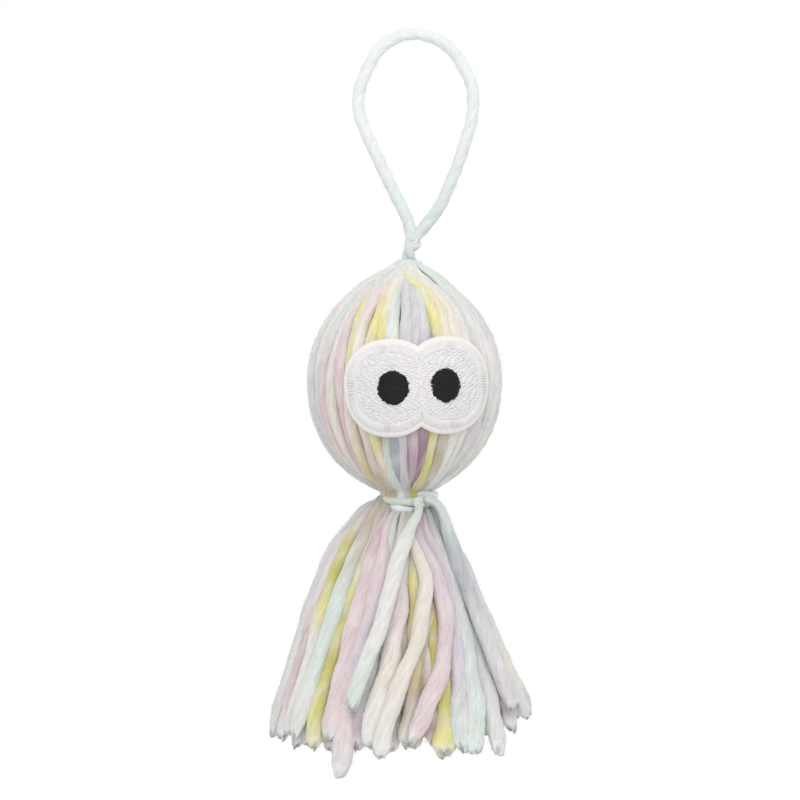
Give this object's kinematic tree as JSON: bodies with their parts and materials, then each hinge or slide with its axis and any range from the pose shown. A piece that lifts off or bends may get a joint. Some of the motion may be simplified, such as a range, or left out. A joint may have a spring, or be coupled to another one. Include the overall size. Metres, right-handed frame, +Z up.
{
  "type": "hanging yarn octopus toy",
  "caption": "Hanging baby toy: a yarn tassel drawn over a crinkle ball as an octopus, with a cord loop, a felt eye patch and a skirt of loose strands",
  "frame": {"origin": "the hang point, on the inside of the top of the loop, where a hook bears", "axes": "+Z up along the hanging toy, the face looks along -Y, +X to the viewer's right"},
  "size_m": [0.0714, 0.0721, 0.1955],
  "materials": {
    "loop_cord": "twisted cotton cord, pale mint white",
    "head_yarn": "soft space-dyed yarn in pale pink, yellow, lilac, mint and white",
    "skirt_yarn": "soft space-dyed low-twist yarn",
    "tie_yarn": "pale mint and white yarn",
    "felt": "white wool felt",
    "white_stitching": "white embroidery thread with a slight shine",
    "black_stitching": "black embroidery thread",
    "crinkle_film": "thin crackling film",
    "stuffing": "fibre fill"
  },
  "bodies": {
    "loop": {"hang_loop": "loop_cord"},
    "knot": {"loop_knot": "loop_cord"},
    "stem": {"loop_stem": "loop_cord"},
    "head": {"crown_tie": "loop_cord", "crinkle_film": "crinkle_film", "stuffing_ball": "stuffing", "head_yarn_1": "head_yarn", "head_yarn_2": "head_yarn", "head_yarn_3": "head_yarn", "head_yarn_4": "head_yarn", "head_yarn_5": "head_yarn", "head_yarn_6": "head_yarn", "head_yarn_7": "head_yarn", "head_yarn_8": "head_yarn", "eye_felt": "felt", "eye_rim": "white_stitching", "eye_fill_left": "white_stitching", "eye_fill_right": "white_stitching", "eye_pupil_left": "black_stitching", "eye_pupil_right": "black_stitching", "neck_tie": "tie_yarn", "tie_knot": "tie_yarn"},
    "lock_1": {"skirt_lock_1": "skirt_yarn", "tie_tail_left": "tie_yarn"},
    "lock_2": {"skirt_lock_2": "skirt_yarn", "tie_tail_right": "tie_yarn"},
    "lock_3": {"skirt_lock_3": "skirt_yarn"},
    "lock_4": {"skirt_lock_4": "skirt_yarn"},
    "lock_5": {"skirt_lock_5": "skirt_yarn"},
    "lock_6": {"skirt_lock_6": "skirt_yarn"},
    "lock_7": {"skirt_lock_7": "skirt_yarn"},
    "lock_8": {"skirt_lock_8": "skirt_yarn"}
  },
  "joints": [
    {"name": "loop_fold", "type": "hinge", "parent": "loop", "child": "knot", "pos_m": [0, 0, -0.054], "axis": [1, 0, 0], "range_deg": [-90, 90]},
    {"name": "side_sway", "type": "hinge", "parent": "knot", "child": "stem", "pos_m": [0, 0, -0.054], "axis": [0, 1, 0], "range_deg": [-40, 40]},
    {"name": "head_turn", "type": "hinge", "parent": "stem", "child": "head", "pos_m": [0, 0, -0.06], "axis": [0, 0, 1], "range_deg": [-120, 120], "stiffness_Nm_per_rad": 0.0006},
    {"name": "lock_1_lift", "type": "hinge", "parent": "head", "child": "lock_1", "pos_m": [-0.00053, -0.00758, -0.12594], "axis": [-0.9976, 0.0698, 0], "range_deg": [0, 55]},
    {"name": "lock_2_lift", "type": "hinge", "parent": "head", "child": "lock_2", "pos_m": [0.00499, -0.00574, -0.12594], "axis": [-0.7547, -0.6561, 0], "range_deg": [0, 55]},
    {"name": "lock_3_lift", "type": "hinge", "parent": "head", "child": "lock_3", "pos_m": [0.00758, -0.00053, -0.12594], "axis": [-0.0698, -0.9976, 0], "range_deg": [0, 55]},
    {"name": "lock_4_lift", "type": "hinge", "parent": "head", "child": "lock_4", "pos_m": [0.00574, 0.00499, -0.12594], "axis": [0.6561, -0.7547, 0], "range_deg": [0, 55]},
    {"name": "lock_5_lift", "type": "hinge", "parent": "head", "child": "lock_5", "pos_m": [0.00053, 0.00758, -0.12594], "axis": [0.9976, -0.0698, 0], "range_deg": [0, 55]},
    {"name": "lock_6_lift", "type": "hinge", "parent": "head", "child": "lock_6", "pos_m": [-0.00499, 0.00574, -0.12594], "axis": [0.7547, 0.6561, 0], "range_deg": [0, 55]},
    {"name": "lock_7_lift", "type": "hinge", "parent": "head", "child": "lock_7", "pos_m": [-0.00758, 0.00053, -0.12594], "axis": [0.0698, 0.9976, 0], "range_deg": [0, 55]},
    {"name": "lock_8_lift", "type": "hinge", "parent": "head", "child": "lock_8", "pos_m": [-0.00574, -0.00499, -0.12594], "axis": [-0.6561, 0.7547, 0], "range_deg": [0, 55]}
  ]
}
